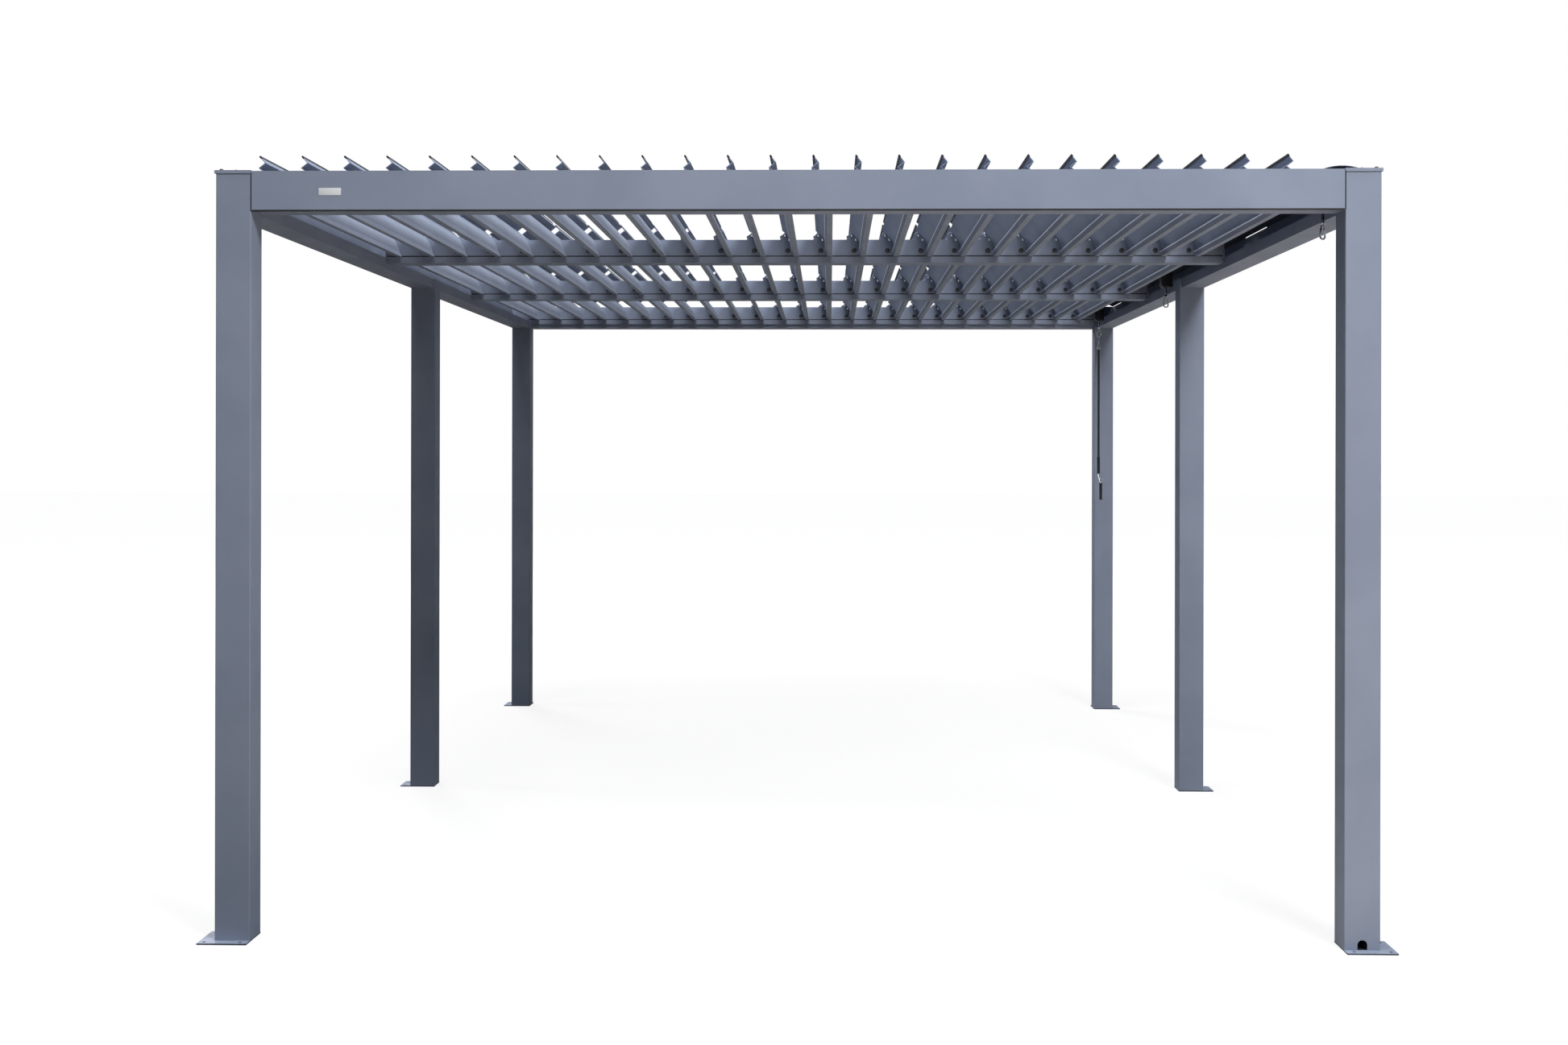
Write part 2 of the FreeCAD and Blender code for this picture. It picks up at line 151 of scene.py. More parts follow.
def surface(name, dark, light, rough, grain_scale, grain_depth, metallic=0.0, shine=0.5, drift_scale=3.1,
            sides=1.0):
    """A finish that drifts between two colours and two roughnesses, with a fine grain. With sides below 1, faces
    that don't look upwards keep only that share of the colour, as painted shade.
    """
    material = bpy.data.materials.new(name)
    material.use_nodes = True
    tree = material.node_tree
    shader = tree.nodes["Principled BSDF"]
    shader.inputs["Metallic"].default_value = metallic
    shader.inputs["Specular IOR Level"].default_value = shine
    place = tree.nodes.new("ShaderNodeTexCoord").outputs["Object"]
    drift = remap(tree, noise(tree, place, drift_scale, 4.0), *drift_noise, 0.0, 1.0)
    colour = blend_colours(tree, drift, dark, light)
    # Painted shade on faces that don't look upwards
    if sides < 1.0:
        colour = paint_side_shade(tree, colour, sides)
    tree.links.new(colour, shader.inputs["Base Color"])
    gloss = remap(tree, noise(tree, place, gloss_scale, 3.0), *gloss_noise, *rough)
    tree.links.new(gloss, shader.inputs["Roughness"])
    bump = tree.nodes.new("ShaderNodeBump")
    bump.inputs["Strength"].default_value = grain_strength
    bump.inputs["Distance"].default_value = grain_depth
    tree.links.new(noise(tree, place, grain_scale, 2.0), bump.inputs["Height"])
    tree.links.new(bump.outputs["Normal"], shader.inputs["Normal"])
    return material


# Powder coats. In the photograph the sides of cover strips and foot plates are darker than their tops; here that
# is painted shade on their sides and undersides

coat_dark = (0.236, 0.276, 0.372)
coat_light = (0.268, 0.310, 0.410)
frame_coat = surface("frame_coat", coat_dark, coat_light, rough=(0.62, 0.74),
                     grain_scale=900.0, grain_depth=0.00025, shine=0.06)
strip_coat_painted_shade = surface("strip_coat_painted_shade", coat_dark, coat_light, rough=(0.62, 0.74),
                     grain_scale=900.0, grain_depth=0.00025, shine=0.06, sides=0.30)
# Painted highlight: light blue-white for the bead along the gutter lips, where their edges catch the sky
painted_lip_highlight = surface("painted_lip_highlight", dark=(0.60, 0.70, 0.92), light=(0.66, 0.76, 0.97), rough=(0.40, 0.55),
                    grain_scale=900.0, grain_depth=0.0001)
louvre_coat = surface("louvre_coat", dark=(0.247, 0.288, 0.384), light=(0.280, 0.323, 0.425),
                      rough=(0.60, 0.70), grain_scale=900.0, grain_depth=0.00025, shine=0.06)
# The foot plates' coat darkens their sides as painted shade
foot_coat = surface("foot_coat", dark=(0.300, 0.350, 0.470), light=(0.350, 0.405, 0.535),
                    rough=(0.50, 0.62), grain_scale=700.0, grain_depth=0.0003, shine=0.1, sides=0.25)

# Metals. The chrome's base colour drifts in small patches from the grey of plated steel down to near black: the
# dark patches are painted dark reflections

chrome = surface("chrome", dark=(0.03, 0.033, 0.040), light=(0.34, 0.35, 0.38), rough=(0.12, 0.26),
                 grain_scale=260.0, grain_depth=0.0001, metallic=1.0, drift_scale=90.0)
dark_steel = surface("dark_steel", dark=(0.030, 0.032, 0.037), light=(0.055, 0.058, 0.065),
                     rough=(0.30, 0.46), grain_scale=420.0, grain_depth=0.0001, metallic=0.6)
zinc = surface("zinc", dark=(0.62, 0.64, 0.66), light=(0.76, 0.78, 0.80), rough=(0.16, 0.28),
               grain_scale=420.0, grain_depth=0.0001, metallic=1.0)

# Plastics, rubber, the rod's paint and the bare plate

housing = surface("gear_housing", dark=(0.012, 0.013, 0.016), light=(0.022, 0.023, 0.027),
                  rough=(0.60, 0.74), grain_scale=1500.0, grain_depth=0.0002, shine=0.15)
rod_paint = surface("crank_black", dark=(0.008, 0.009, 0.013), light=(0.014, 0.016, 0.021),
                    rough=(0.42, 0.54), grain_scale=1200.0, grain_depth=0.0001, shine=0.2)
grip_sleeve = surface("crank_grip", dark=(0.008, 0.009, 0.011), light=(0.015, 0.016, 0.019),
                      rough=(0.60, 0.74), grain_scale=1800.0, grain_depth=0.0003, shine=0.2)
# Dark nylon for the washers and the hooks' rubber edges; the same colour is the painted shade in grooves, at
# joints and behind the drain
nylon_and_painted_shade = surface("nylon_and_painted_shade", dark=(0.014, 0.015, 0.018), light=(0.026, 0.027, 0.031), rough=(0.55, 0.70),
                grain_scale=900.0, grain_depth=0.0001, shine=0.2)
plate_finish = surface("plate_finish", dark=(0.66, 0.68, 0.71), light=(0.74, 0.76, 0.79),
                       rough=(0.30, 0.42), grain_scale=600.0, grain_depth=0.00008)

slot_finish = {"frame_coat": frame_coat, "louvre_coat": louvre_coat, "foot_coat": foot_coat,
               "gear_housing": housing, "chrome": chrome, "crank_black": rod_paint,
               "crank_grip": grip_sleeve}
for part in frame["record"]["subparts"]:
    # The cover strips take the copy of the frame coat with painted shade on their sides and undersides
    finish = strip_coat_painted_shade if part["node"] == "cover_strips" else slot_finish[part["material_slot"]]
    mesh = frame["nodes"][part["node"]].data
    mesh.materials.clear()
    mesh.materials.append(finish)


# Mesh building

def piece(name, bm, body, *materials):
    """A mesh object from a bmesh, which moves with a body."""
    bmesh.ops.recalc_face_normals(bm, faces=bm.faces)
    mesh = bpy.data.meshes.new(name)
    bm.to_mesh(mesh)
    bm.free()
    for material in materials:
        mesh.materials.append(material)
    mesh.shade_smooth()
    mesh.set_sharp_from_angle(angle=math.radians(35))
    built = bpy.data.objects.new(name, mesh)
    bpy.context.scene.collection.objects.link(built)
    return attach(built, body)


def paint_new(bm, index):
    """Gives a material index to the faces made since the last call."""
    for face in bm.faces:
        if not face.tag:
            face.material_index = index
            face.tag = True


def facing(direction, place):
    """Matrix that stands local +Z along a direction at a place."""
    return Matrix.Translation(place) @ Vector(direction).to_track_quat("Z", "Y").to_matrix().to_4x4()


def span(side, near, far):
    """Two distances from the middle as places on one side of it, the lower one first."""
    return sorted((side * near, side * far))


def add_rings(bm, rings, closed=False):
    """Skin over rings of equally many points. The ends are capped unless the rings close on themselves."""
    rows = [[bm.verts.new(point) for point in ring] for ring in rings]
    pairs = list(zip(rows, rows[1:])) + ([(rows[-1], rows[0])] if closed else [])
    for near, far in pairs:
        for i in range(len(near)):
            j = (i + 1) % len(near)
            bm.faces.new((near[i], near[j], far[j], far[i]))
    if not closed:
        bm.faces.new(rows[0][::-1])
        bm.faces.new(rows[-1])


def turned(bm, profile, place, sides=24, closed=False):
    """Turned form: the profile's (radius, height) points go round the local Z axis of a place."""
    angles = [math.tau * i / sides for i in range(sides)]
    rings = []
    for radius, height in profile:
        rings.append([place @ Vector((radius * math.cos(a), radius * math.sin(a), height)) for a in angles])
    add_rings(bm, rings, closed)


def washer_profile(bore, radius, thickness):
    return [(bore, 0.0), (radius, 0.0), (radius, thickness), (bore, thickness)]


# Rings of a button head: share of its radius, share of its height, and whether the ring is a hexagon
button_rings = ((1.0, 0.0, False), (1.0, 0.35, False), (0.86, 0.80, False),
                (0.60, 1.0, False), (0.42, 1.0, True), (0.40, 0.45, True))
button_sides = 12


def socket_screw(bm, place, radius, height):
    """Button head with a hexagon socket."""
    rings = []
    for reach, level, hexagon in button_rings:
        ring = []
        for i in range(button_sides):
            r = radius * reach * (math.cos(math.pi / 6) if hexagon and i % 2 else 1.0)
            a = math.tau * i / button_sides
            ring.append(place @ Vector((r * math.cos(a), r * math.sin(a), height * level)))
        rings.append(ring)
    add_rings(bm, rings)


def rounded_box(bm, low, high, radius):
    """Box with rounded edges."""
    made = bmesh.ops.create_cube(bm, size=1.0)["verts"]
    size = Vector(high) - Vector(low)
    middle = (Vector(high) + Vector(low)) / 2
    bmesh.ops.scale(bm, vec=size, verts=made)
    bmesh.ops.translate(bm, vec=middle, verts=made)
    edges = list({edge for vert in made for edge in vert.link_edges})
    bmesh.ops.bevel(bm, geom=edges, offset=radius, segments=3, affect="EDGES", profile=0.5)


def bent_bar(bm, points, radius, cyclic=False):
    """Round bar along a smooth line that the points lead."""
    curve = bpy.data.curves.new("bar_line", "CURVE")
    curve.dimensions = "3D"
    curve.bevel_depth = radius
    curve.bevel_resolution = 4
    curve.resolution_u = 10
    curve.use_fill_caps = True
    spline = curve.splines.new("NURBS")
    spline.points.add(len(points) - 1)
    for control, point in zip(spline.points, points):
        control.co = (*point, 1)
    spline.use_cyclic_u = cyclic
    spline.use_endpoint_u = not cyclic
    spline.order_u = 3
    line = bpy.data.objects.new("bar_line", curve)
    bpy.context.scene.collection.objects.link(line)
    graph = bpy.context.evaluated_depsgraph_get()
    mesh = bpy.data.meshes.new_from_object(line.evaluated_get(graph))
    bm.from_mesh(mesh)
    bpy.data.objects.remove(line)
    bpy.data.curves.remove(curve)
    bpy.data.meshes.remove(mesh)


def bay_span(bay):
    """Front and rear pivot faces of a bay."""
    start = -post_inner_y + bay * (bay_length + crossbeam_width)
    return start, start + bay_length


# Every face that louvres pivot on: its place along Y, and the direction from it into its bay
pivot_faces = [(y, inward) for bay in range(bays) for y, inward in zip(bay_span(bay), (1, -1))]


# Louvre fixings: at both ends of each louvre a pivot bolt, two bracket screws and a washer, and along it
# a rubber edge on the hook and a bead on the gutter lip, coloured light as a painted highlight of the lip's edge.
# Offsets are from the pivot

pivot_bolt_radius = 0.0105
pivot_bolt_height = 0.0055
bracket_screws = ((-0.0095, 0.062), (0.008, 0.045))
bracket_screw_radius = 0.0052
bracket_screw_height = 0.0030
washer_bore = 0.0045
washer_radius = 0.0095
hook_tip = Vector((-0.015, 0, 0.116))
hook_rise = Vector((-0.016, 0, 0.020)).normalized()
hook_side = Vector((0.020, 0, 0.016)).normalized()
edge_outline = ((-0.0060, -0.0027), (0.0018, -0.0027), (0.0030, -0.0014), (0.0030, 0.0014),
                (0.0018, 0.0027), (-0.0060, 0.0027))
lip_end = Vector((0.0193, 0, -0.0046))
lip_up = Vector((-0.407, 0, 0.914))
bead_radius = 0.0023
bead_drop = 0.0012
bead_sides = 8


def at_pivot(x, y, z):
    """Place at an offset from the pivots of the first row."""
    return Vector((first_pivot_x + x, y, pivot_height + z))


def add_louvre_strips(bm, outline):
    """A strip of one cross-section between the brackets of each louvre of the first row."""
    for bay in range(bays):
        front, rear = bay_span(bay)
        ends = (front + bracket_inner, rear - bracket_inner)
        add_rings(bm, [[at_pivot(0, y, 0) + point for point in outline] for y in ends])


def make_louvre_fixings():
    """All the fixings of a row are one piece, and the other rows share its mesh."""
    bm = bmesh.new()
    for y, inward in pivot_faces:
        place = at_pivot(0, y + inward * bracket_inner, 0)
        socket_screw(bm, facing((0, inward, 0), place), pivot_bolt_radius, pivot_bolt_height)
    paint_new(bm, 0)
    for y, inward in pivot_faces:
        for x, z in bracket_screws:
            place = at_pivot(x, y + inward * bracket_inner, z)
            socket_screw(bm, facing((0, inward, 0), place), bracket_screw_radius, bracket_screw_height)
    paint_new(bm, 1)
    for y, inward in pivot_faces:
        profile = washer_profile(washer_bore, washer_radius, washer_thick)
        turned(bm, profile, facing((0, inward, 0), at_pivot(0, y, 0)), sides=20, closed=True)
    add_louvre_strips(bm, [hook_tip + hook_rise * rise + hook_side * side for rise, side in edge_outline])
    paint_new(bm, 2)
    # The bead along the gutter lip carries a painted highlight
    bead_middle = lip_end - lip_up * bead_drop
    angles = [math.tau * i / bead_sides for i in range(bead_sides)]
    circle = [Vector((math.cos(a), 0, math.sin(a))) for a in angles]
    add_louvre_strips(bm, [bead_middle + bead_radius * point for point in circle])
    paint_new(bm, 3)
    first = piece("louvre_fixings_01", bm, "louvres_01", dark_steel, zinc, nylon_and_painted_shade, painted_lip_highlight)
    rows = sum(name.startswith("louvre_row_") for name in frame["nodes"])
    for number in range(2, rows + 1):
        copy = bpy.data.objects.new("louvre_fixings_%02d" % number, first.data)
        copy.location.x = joint_places["tilt_%02d" % number][0] - first_pivot_x
        bpy.context.scene.collection.objects.link(copy)
        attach(copy, "louvres_%02d" % number)


# Eyes of the gears: a pear-shaped loop of round bar under a collar and a stem. Heights are from the
# loop's foot

eye_foot = 2.205
eye_bar_radius = 0.003
eye_outline = ((-0.0075, 0.0030), (0.0075, 0.0030), (0.0124, 0.0120), (0.0074, 0.0360),
               (0.0045, 0.0490), (-0.0045, 0.0490), (-0.0074, 0.0360), (-0.0124, 0.0120))
eye_stem = ((0.0034, 0.0470), (0.0066, 0.0478), (0.0074, 0.0490), (0.0074, 0.0590), (0.0066, 0.0602),
            (0.0050, 0.0606), (0.0050, 0.0917))
eye_turns = {"front": 35.0, "middle": 15.0, "rear": 0.0}


def make_eyes():
    for name, axis in gear_axes.items():
        turn = Matrix.Rotation(math.radians(eye_turns[name]), 3, "Z")
        foot = axis + Vector((0, 0, eye_foot))
        bm = bmesh.new()
        points = [foot + turn @ Vector((x, 0, z)) for x, z in eye_outline]
        bent_bar(bm, points, eye_bar_radius, cyclic=True)
        turned(bm, eye_stem, Matrix.Translation(foot), sides=20)
        eye = piece("gear_eye_" + name, bm, "winder_" + name, chrome)
        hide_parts("eyelet_" + name)


# Crank on the rear eye: hook and neck with a ferrule, slanting arm, grip and handle. Its straight rod is
# the solid itself

hook_middle = 2.205
neck_foot = 2.1415
neck_radius = 0.003
rod_foot = 1.5055
grip_foot = 1.4075
arm_reach = 0.09
arm_drop = 0.052
arm_radius = 0.005
handle_length = 0.096
arm_foot = grip_foot - arm_drop
hook_line = ((0.0, neck_foot - 0.010), (0.0, neck_foot + 0.020), (0.0, hook_middle - 0.0215),
             (0.0045, hook_middle - 0.0105), (0.0115, hook_middle - 0.0068),
             (0.0115, hook_middle + 0.0068), (0.0045, hook_middle + 0.0112),
             (-0.0060, hook_middle + 0.0112), (-0.0116, hook_middle + 0.0050),
             (-0.0110, hook_middle - 0.0045))
ferrule = ((0.0062, -0.0110), (0.0070, -0.0105), (0.0078, -0.0090), (0.0078, 0.0100), (0.0062, 0.0120),
           (0.0030, 0.0135))
arm_line = ((0.0, grip_foot + 0.012), (0.0, grip_foot - 0.006), (-arm_reach, arm_foot + 0.006),
            (-arm_reach, arm_foot - 0.012))
flange_profile = ((0.0050, 0.0), (0.0080, 0.0004), (0.0094, 0.0020), (0.0094, 0.0060), (0.0084, 0.0085))
sleeve_groove_shares = (0.28, 0.42, 0.56, 0.70)
sleeve_groove_half = 0.0016


def on_crank(along, z):
    """Place in the crank's upright plane."""
    return gear_axes["rear"] + Vector((0, along, z))


def sleeve_profile(length):
    """Sleeve with a rounded flange at both ends and shallow grooves between them."""
    grooves = []
    for share in sleeve_groove_shares:
        z = length * share
        grooves += [(0.0086, z - sleeve_groove_half), (0.0080, z), (0.0086, z + sleeve_groove_half)]
    return [*flange_profile, *grooves, *((radius, length - z) for radius, z in reversed(flange_profile))]


def make_crank():
    bm = bmesh.new()
    bent_bar(bm, [on_crank(along, z) for along, z in hook_line], neck_radius)
    turned(bm, ferrule, Matrix.Translation(on_crank(0, neck_foot)))
    hook = piece("crank_hook_bar", bm, "winder_rear", chrome)
    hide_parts("crank_hook")

    bm = bmesh.new()
    bent_bar(bm, [on_crank(along, z) for along, z in arm_line], arm_radius)
    arm = piece("crank_arm_bar", bm, "winder_rear", chrome)
    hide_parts("crank_arm")

    bm = bmesh.new()
    turned(bm, sleeve_profile(rod_foot - grip_foot), Matrix.Translation(on_crank(0, grip_foot)))
    handle_place = on_crank(-arm_reach, arm_foot - handle_length)
    turned(bm, sleeve_profile(handle_length), Matrix.Translation(handle_place))
    sleeves = piece("crank_sleeves", bm, "winder_rear", grip_sleeve)
    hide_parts("crank_grips")


# Gear housings: rounded body, bolted cover towards the middle, and a boss round the stem

gear_foot = 2.297
gear_width = 0.050
gear_length = 0.070
gear_height = 0.070
gear_rounding = 0.004
cover_stand = 0.004
cover_thick = 0.008
cover_margin = 0.006
cover_rounding = 0.002
cover_screw_inset = 0.014
cover_screw_gap = 0.0002
cover_screw_radius = 0.0034
cover_screw_height = 0.0020
boss_drop = 0.003
boss_profile = ((0.0070, 0.0), (0.0125, 0.0), (0.0140, 0.0015), (0.0140, 0.0060), (0.0070, 0.0060))


def make_gear_housings():
    bm = bmesh.new()
    screws = bmesh.new()
    for axis in gear_axes.values():
        x0, y0, z0 = axis.x - gear_width / 2, axis.y - gear_length / 2, gear_foot + boss_drop
        x1, y1, z1 = axis.x + gear_width / 2, axis.y + gear_length / 2, gear_foot + gear_height
        rounded_box(bm, (x0 + cover_stand, y0, z0), (x1, y1, z1), gear_rounding)
        rounded_box(bm, (x0, y0 + cover_margin, z0 + cover_margin),
                    (x0 + cover_thick, y1 - cover_margin, z1 - cover_margin), cover_rounding)
        turned(bm, boss_profile, Matrix.Translation(axis + Vector((0, 0, gear_foot))), closed=True)
        for y in (y0 + cover_screw_inset, y1 - cover_screw_inset):
            for z in (z0 + cover_screw_inset, z1 - cover_screw_inset):
                place = facing((-1, 0, 0), Vector((x0 + cover_screw_gap, y, z)))
                socket_screw(screws, place, cover_screw_radius, cover_screw_height)
    housings = piece("gear_housings", bm, "frame", housing)
    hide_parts("gearboxes")
    piece("gear_housing_screws", screws, "frame", dark_steel)


# End flanges of the crossbeams, each held by two screws to the beam's inner wall

flange_back_x = beam_inner_x - 0.0005
flange_face_x = flange_back_x - 0.004
flange_reach = 0.016
flange_bottom = 2.300
flange_top = 2.352
flange_rounding = 0.0012
flange_screw_inset = 0.010
flange_screw_reach = 0.009
flange_screw_radius = 0.0036
flange_screw_height = 0.0022


def make_crossbeam_flanges():
    bm = bmesh.new()
    screws = bmesh.new()
    for index in range(bays - 1):
        y_front = bay_span(index)[1]
        for side in (-1, 1):
            for y, outward in ((y_front, -1), (y_front + crossbeam_width, 1)):
                low_x, high_x = span(side, flange_face_x, flange_back_x)
                low_y, high_y = sorted((y, y + outward * flange_reach))
                rounded_box(bm, (low_x, low_y, flange_bottom), (high_x, high_y, flange_top),
                            flange_rounding)
                for z in (flange_bottom + flange_screw_inset, flange_top - flange_screw_inset):
                    place = Vector((side * flange_face_x, y + outward * flange_screw_reach, z))
                    socket_screw(screws, facing((-side, 0, 0), place), flange_screw_radius,
                                 flange_screw_height)
    piece("crossbeam_flanges", bm, "frame", frame_coat)
    piece("crossbeam_flange_screws", screws, "frame", dark_steel)


# Dark strips in the grooves of crossbeams and rails: painted shade of the grooves

groove_shade_half = 0.0022
groove_shade_end = beam_inner_x - 0.0015
groove_shade_stand = 0.0003
groove_shade_sink = 0.0010
groove_shade_rounding = 0.0002


def make_groove_shade_strips():
    bm = bmesh.new()
    for y, inward in pivot_faces:
        low_y, high_y = sorted((y + inward * groove_shade_stand, y - inward * groove_shade_sink))
        rounded_box(bm, (-groove_shade_end, low_y, groove_height - groove_shade_half),
                    (groove_shade_end, high_y, groove_height + groove_shade_half), groove_shade_rounding)
    piece("groove_shade_strips", bm, "frame", nylon_and_painted_shade)


# Screws with washers: two on each corner cap, and one on each end of the front and back beams

cap_top = roof_height + cap_thick
corner_bolt_places = ((1.749, 2.664, cap_top), (1.789, 2.682, cap_top), (1.618, 2.650, roof_height))
corner_washer_thick = 0.0012
corner_washer = washer_profile(bore=0.0005, radius=0.0090, thickness=corner_washer_thick)
corner_head_radius = 0.0065
corner_head_height = 0.0055


def make_corner_bolts():
    bm = bmesh.new()
    for side in (-1, 1):
        for row in (-1, 1):
            for x, y, z in corner_bolt_places:
                place = facing((0, 0, 1), Vector((side * x, row * y, z)))
                turned(bm, corner_washer, place, sides=20)
                head = place @ Matrix.Translation((0, 0, corner_washer_thick))
                socket_screw(bm, head, corner_head_radius, corner_head_height)
    piece("corner_bolts", bm, "frame", dark_steel)


# Dark strips where beams meet posts, on the fronts and on the outer sides, and a dark line along the lower
# outer edge of the front and back beams: painted shade of the joints and of the rounded lower edge

shade_strip_rounding = 0.0003
front_shade_x = (post_inner_x - 0.0018, post_inner_x + 0.0022)
front_shade_y = (half_depth + 0.0003, half_depth - 0.0060)
side_shade_x = (half_width - 0.0012, half_width - 0.0022)
side_shades_y = ((post_inner_y - 0.0002, post_inner_y + 0.0022),
                (post_size / 2 - 0.0022, post_size / 2 + 0.0002))
front_shade_top = roof_height - 0.0008
side_shade_top = roof_height - 0.0080
edge_line_y = (half_depth + 0.0004, half_depth - 0.0060)
edge_line_end = post_inner_x - 0.0025
edge_line_bottom = beam_bottom - 0.0016
edge_line_top = beam_bottom + 0.0040


def make_joint_shade_strips():
    bm = bmesh.new()
    for side in (-1, 1):
        for row in (-1, 1):
            x = span(side, *front_shade_x)
            y = span(row, *front_shade_y)
            rounded_box(bm, (x[0], y[0], beam_bottom), (x[1], y[1], front_shade_top), shade_strip_rounding)
            x = span(side, *side_shade_x)
            for places in side_shades_y:
                y = span(row, *places)
                rounded_box(bm, (x[0], y[0], beam_bottom), (x[1], y[1], side_shade_top), shade_strip_rounding)
    for row in (-1, 1):
        y = span(row, *edge_line_y)
        rounded_box(bm, (-edge_line_end, y[0], edge_line_bottom), (edge_line_end, y[1], edge_line_top),
                    shade_strip_rounding)
    piece("joint_shade_strips", bm, "frame", nylon_and_painted_shade)


# Dark sheet on the foot plate behind the drain opening: painted shade of the post's dark inside

shade_sheet_middle_x = half_width - post_size / 2
shade_sheet_half_width = 0.017
shade_sheet_front_y = -half_depth + 0.004
shade_sheet_length = 0.096
shade_sheet_top = foot_thick + 0.0008
shade_sheet_rounding = 0.0003


def make_drain_shade_sheet():
    bm = bmesh.new()
    rounded_box(bm, (shade_sheet_middle_x - shade_sheet_half_width, shade_sheet_front_y, foot_thick),
                (shade_sheet_middle_x + shade_sheet_half_width, shade_sheet_front_y + shade_sheet_length, shade_sheet_top),
                shade_sheet_rounding)
    piece("drain_shade_sheet", bm, "frame", nylon_and_painted_shade)


# Bare plate on the front beam

plate_x = (-1.4780, -1.4085)
plate_z = (2.3239, 2.3463)
plate_face_y = -half_depth - 0.0008
plate_back_y = -half_depth + 0.0006
plate_rounding = 0.0004


def make_bare_plate():
    bm = bmesh.new()
    rounded_box(bm, (plate_x[0], plate_face_y, plate_z[0]), (plate_x[1], plate_back_y, plate_z[1]),
                plate_rounding)
    piece("bare_plate", bm, "frame", plate_finish)


# Stage: floor, world, lamps and camera

floor_reach = 60.0

# Light that the floor throws back: its two colours, and the stretches along which it changes. The dim colour is a
# painted shadow of the roof under, behind and left of the pergola, the bright one painted sunlit ground
bounce_painted_shadow = (0.035, 0.031, 0.027)
bounce_painted_sunlit = (0.85, 0.75, 0.63)
before_edge = (-2.3, -2.9)
rightward_rise = (-1.6, 0.6)
beside_edge = (1.5, 2.2)

# Floor as it is seen: the grey that takes the shadow, and the glow over it from near to far
shadow_catch = (0.22, 0.22, 0.22, 1)
glow_distance = (5.0, 14.0)
glow_strength = (0.82, 0.975)


def seen_directly(tree):
    """1 for rays that come straight, mirrored or through glass from the camera."""
    path = tree.nodes.new("ShaderNodeLightPath")
    total = path.outputs["Is Camera Ray"]
    for name in ("Is Glossy Ray", "Is Transmission Ray"):
        total = arithmetic(tree, "MAXIMUM", total, path.outputs[name])
    return total


def end_by_ray(tree, unseen, seen, output):
    """One shader for the light that is thrown back, and another for where the camera looks."""
    either = tree.nodes.new("ShaderNodeMixShader")
    tree.links.new(seen_directly(tree), either.inputs["Fac"])
    tree.links.new(unseen, either.inputs[1])
    tree.links.new(seen, either.inputs[2])
    tree.links.new(either.outputs["Shader"], tree.nodes[output].inputs["Surface"])


def bounced_light(tree, place):
    """The floor throws much warm light back in front of the pergola, more so to the right, and beside it
    on the right, and little elsewhere. This is painted into the colour that only thrown-back light sees: painted
    sunlit ground, and a painted shadow of the roof."""
    across = tree.nodes.new("ShaderNodeSeparateXYZ")
    tree.links.new(place, across.inputs["Vector"])
    before = remap(tree, across.outputs["Y"], *before_edge, 0.0, 1.0)
    rightward = remap(tree, across.outputs["X"], *rightward_rise, 0.0, 1.0)
    beside = remap(tree, across.outputs["X"], *beside_edge, 0.0, 1.0)
    share = arithmetic(tree, "MAXIMUM", arithmetic(tree, "MULTIPLY", before, rightward), beside)
    bounce = tree.nodes.new("ShaderNodeBsdfDiffuse")
    tree.links.new(blend_colours(tree, share, bounce_painted_shadow, bounce_painted_sunlit), bounce.inputs["Color"])
    return bounce.outputs["BSDF"]


def pale_ground(tree, place):
    """White that takes a soft shadow. It glows more strongly far away, so that it ends without a line."""
    shaded = tree.nodes.new("ShaderNodeBsdfDiffuse")
    shaded.inputs["Color"].default_value = shadow_catch
    away = tree.nodes.new("ShaderNodeVectorMath")
    away.operation = "LENGTH"
    tree.links.new(place, away.inputs["Vector"])
    glow = tree.nodes.new("ShaderNodeEmission")
    strength = remap(tree, away.outputs["Value"], *glow_distance, *glow_strength)
    tree.links.new(strength, glow.inputs["Strength"])
    pale = tree.nodes.new("ShaderNodeAddShader")
    tree.links.new(shaded.outputs["BSDF"], pale.inputs[0])
    tree.links.new(glow.outputs["Emission"], pale.inputs[1])
    return pale.outputs["Shader"]


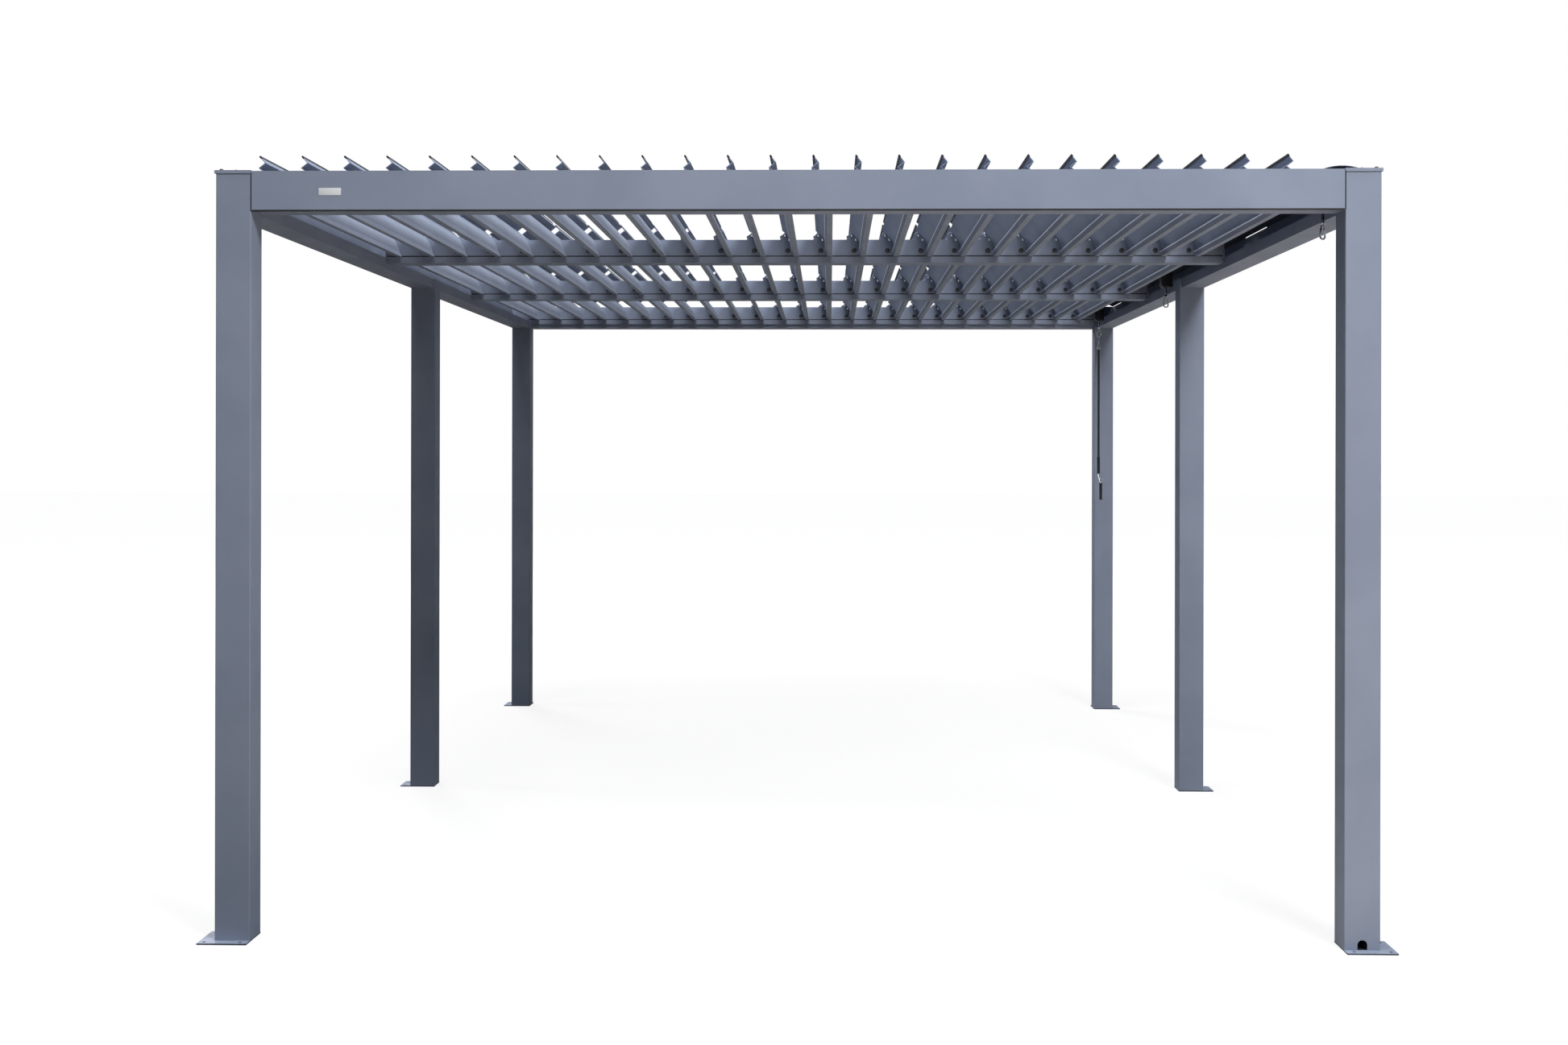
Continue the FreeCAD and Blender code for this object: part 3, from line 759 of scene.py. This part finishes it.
def make_floor():
    material = bpy.data.materials.new("floor")
    material.use_nodes = True
    tree = material.node_tree
    tree.nodes.remove(tree.nodes["Principled BSDF"])
    place = tree.nodes.new("ShaderNodeTexCoord").outputs["Object"]
    end_by_ray(tree, bounced_light(tree, place), pale_ground(tree, place), "Material Output")
    mesh = bpy.data.meshes.new("floor")
    corners = [(x * floor_reach, y * floor_reach, 0) for x, y in ((-1, -1), (1, -1), (1, 1), (-1, 1))]
    mesh.from_pydata(corners, [], [(0, 1, 2, 3)])
    mesh.materials.append(material)
    floor = bpy.data.objects.new("floor", mesh)
    bpy.context.scene.collection.objects.link(floor)


def make_world():
    """White where it is seen, and a weaker pale sky for the light that it gives."""
    world = bpy.data.worlds.new("world")
    world.use_nodes = True
    tree = world.node_tree
    sky = tree.nodes["Background"]
    sky.inputs["Color"].default_value = (*sky_colour, 1)
    sky.inputs["Strength"].default_value = sky_strength
    white = tree.nodes.new("ShaderNodeBackground")
    white.inputs["Color"].default_value = (1, 1, 1, 1)
    end_by_ray(tree, sky.outputs["Background"], white.outputs["Background"], "World Output")
    bpy.context.scene.world = world


def make_lamps():
    """Soft round lamps: the key high in front on the right, a broad one above the roof, and distant ones
    in front, on the left and behind on the left."""
    for name, (place, aim, size, power) in lamps.items():
        light = bpy.data.lights.new(name, "AREA")
        light.shape = "DISK"
        light.size = size
        light.energy = power
        lamp = bpy.data.objects.new(name, light)
        lamp.matrix_world = facing(place - aim, place)
        bpy.context.scene.collection.objects.link(lamp)


def make_camera():
    data = bpy.data.cameras.new("camera")
    data.sensor_width = camera_sensor_mm
    data.lens = camera_lens_mm
    data.shift_y = camera_shift_y
    data.clip_end = 200.0
    camera = bpy.data.objects.new("camera", data)
    camera.matrix_world = (Matrix.Translation(camera_place) @ Matrix.Rotation(camera_yaw, 4, "Z")
                           @ Matrix.Rotation(math.pi / 2, 4, "X") @ Matrix.Rotation(camera_roll, 4, "Z"))
    bpy.context.scene.collection.objects.link(camera)
    bpy.context.scene.camera = camera


make_louvre_fixings()
make_eyes()
make_crank()
make_gear_housings()
make_crossbeam_flanges()
make_groove_shade_strips()
make_corner_bolts()
make_joint_shade_strips()
make_drain_shade_sheet()
make_bare_plate()
make_floor()
make_world()
make_lamps()
make_camera()
bpy.context.scene.view_settings.view_transform = "Standard"
